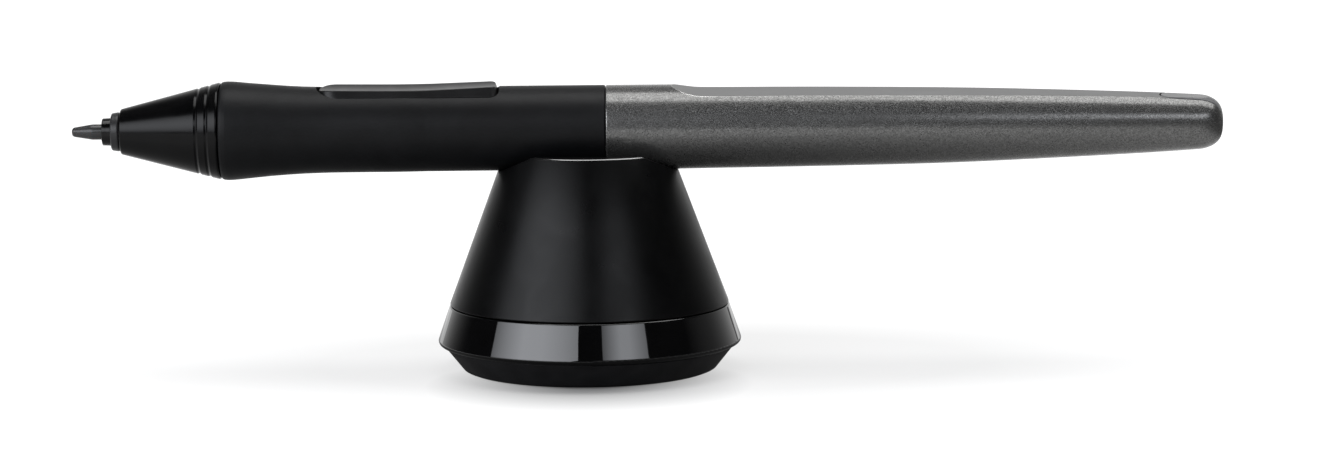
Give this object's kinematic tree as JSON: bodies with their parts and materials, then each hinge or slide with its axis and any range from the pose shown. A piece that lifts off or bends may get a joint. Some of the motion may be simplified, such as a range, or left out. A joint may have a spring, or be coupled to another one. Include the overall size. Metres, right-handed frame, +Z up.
{
  "type": "graphics tablet pen with stand",
  "caption": "Battery-free graphics tablet pen with a side rocker switch and swollen rubber grip, lying in the saddle of a conical, weighted pen stand that stores spare nibs.",
  "frame": {"origin": "on the floor at the centre of the stand's rubber foot pad, on the cone's axis", "axes": "+Z up along the stand's axis; +X along the pen, from its nib towards its tail; -Y towards the front, the side that the pen's top is rolled to"},
  "size_m": [0.163, 0.043, 0.0416],
  "materials": {
    "cone_plastic": "fine matt texture",
    "socket_plastic": "smooth matt",
    "ring_gloss": "high gloss black",
    "base_plastic": "matt",
    "seal_rubber": "matt rubber",
    "weight_steel": "zinc-plated steel",
    "rack_plastic": "smooth matt grey",
    "screw_steel": "plated steel",
    "nib_plastic": "smooth acetal",
    "extractor_steel": "bright steel",
    "pad_rubber": "soft matt rubber",
    "guide_plastic": "satin",
    "bead_plastic": "gloss",
    "nose_plastic": "semi-gloss",
    "ferrite": "sintered dark grey",
    "copper_wire": "enamelled copper",
    "carrier_plastic": "natural acetal",
    "sensor_case": "moulded capsule",
    "tube_plastic": "smooth matt",
    "grip_rubber": "soft-touch silicone",
    "rocker_plastic": "satin grey",
    "pin_steel": "ground steel",
    "chassis_plastic": "matt",
    "board_laminate": "solder mask",
    "chip_plastic": "moulded chips",
    "switch_case": "moulded switch",
    "damper_foam": "closed-cell foam",
    "barrel_finish": "gunmetal metallic lacquer"
  },
  "bodies": {
    "base": {"base_cup": "base_plastic", "gloss_ring": "ring_gloss", "weight_plate": "weight_steel", "nib_rack": "rack_plastic", "rack_screws": "screw_steel", "spare_nibs": "nib_plastic", "nib_extractor": "extractor_steel", "base_pad": "pad_rubber"},
    "seal_body": {"friction_ring": "seal_rubber"},
    "cover": {"cone_cover": "cone_plastic", "pen_socket": "socket_plastic"},
    "pen": {"nib_guide": "guide_plastic", "nose_ring": "bead_plastic", "nose_cone": "nose_plastic", "ferrite_core": "ferrite", "coil_winding": "copper_wire", "pressure_sensor": "sensor_case", "front_barrel": "tube_plastic", "grip_sleeve": "grip_rubber", "rocker_pin": "pin_steel", "chassis": "chassis_plastic", "circuit_board": "board_laminate", "board_components": "chip_plastic", "front_switch": "switch_case", "rear_switch": "switch_case", "foam_damper": "damper_foam", "rear_barrel": "barrel_finish", "tail_inlay": "barrel_finish"},
    "nib_holder": {"nib_carrier": "carrier_plastic"},
    "tip": {"nib": "nib_plastic"},
    "rocker": {"rocker_button": "rocker_plastic"}
  },
  "joints": [
    {"name": "cover_twist", "type": "hinge", "parent": "base", "child": "seal_body", "pos_m": [0, 0, 0], "axis": [0, 0, 1], "continuous": true},
    {"name": "cover_lift", "type": "slide", "parent": "seal_body", "child": "cover", "axis": [0, 0, 1], "range_m": [0, 0.03]},
    {"name": "pen_lift", "type": "slide", "parent": "cover", "child": "pen", "axis": [0, 0, 1], "range_m": [0, 0.045]},
    {"name": "nib_press", "type": "slide", "parent": "pen", "child": "nib_holder", "axis": [1, 0, 0], "range_m": [0, 0.0005], "stiffness_N_per_m": 3000},
    {"name": "nib_pull", "type": "slide", "parent": "nib_holder", "child": "tip", "axis": [-1, 0, 0], "range_m": [0, 0.02]},
    {"name": "rocker_tilt", "type": "hinge", "parent": "pen", "child": "rocker", "pos_m": [-0.02537, -0.00038, 0.03796], "axis": [0, 0.9936, 0.1132], "range_deg": [-1.6, 1.6], "stiffness_Nm_per_rad": 0.4}
  ]
}
